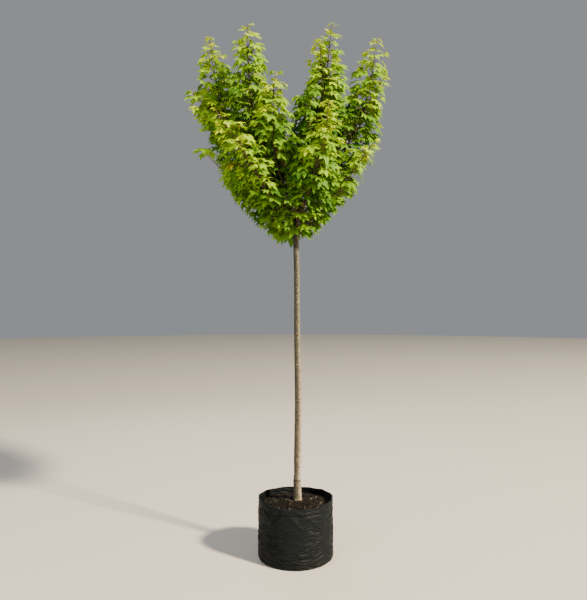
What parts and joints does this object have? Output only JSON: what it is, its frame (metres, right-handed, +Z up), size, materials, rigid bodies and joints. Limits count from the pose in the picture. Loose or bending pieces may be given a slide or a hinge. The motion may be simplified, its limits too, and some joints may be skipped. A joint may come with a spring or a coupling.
{
  "type": "potted maple tree",
  "caption": "Young maple grown as a standard, with one clear stem and a vase of upright leafy limbs, in a soft black grow bag of bark compost.",
  "frame": {"origin": "middle of the grow bag's flat underside, on the surface that it stands on", "axes": "+Z up along the stem, -Y towards the side that the picture shows, +X to its right"},
  "size_m": [1.0102, 0.7349, 2.5002],
  "materials": {
    "bag": "satin",
    "compost": "matte",
    "stem_bark": "matte",
    "bough_bark": "matte",
    "foliage": "satin"
  },
  "bodies": {
    "root": {"bough_back_left": "bough_bark", "bough_back_low": "bough_bark", "bough_back_low_left": "bough_bark", "bough_back_low_right": "bough_bark", "bough_back_right": "bough_bark", "bough_far_left": "bough_bark", "bough_far_right": "bough_bark", "bough_front_left": "bough_bark", "bough_front_right": "bough_bark", "bough_left_tall": "bough_bark", "bough_low_left": "bough_bark", "bough_low_right": "bough_bark", "bough_middle": "bough_bark", "bough_right_tall": "bough_bark", "compost": "compost", "foliage_back_left": "foliage", "foliage_back_low": "foliage", "foliage_back_low_left": "foliage", "foliage_back_low_right": "foliage", "foliage_back_right": "foliage", "foliage_far_left": "foliage", "foliage_far_right": "foliage", "foliage_front_left": "foliage", "foliage_front_right": "foliage", "foliage_left_tall": "foliage", "foliage_low_left": "foliage", "foliage_low_right": "foliage", "foliage_middle": "foliage", "foliage_right_tall": "foliage", "foliage_skirt_back_left": "foliage", "foliage_skirt_back_right": "foliage", "foliage_skirt_front": "foliage", "foliage_skirt_left": "foliage", "foliage_skirt_right": "foliage", "grow_bag": "bag", "stem": "stem_bark"}
  },
  "joints": []
}
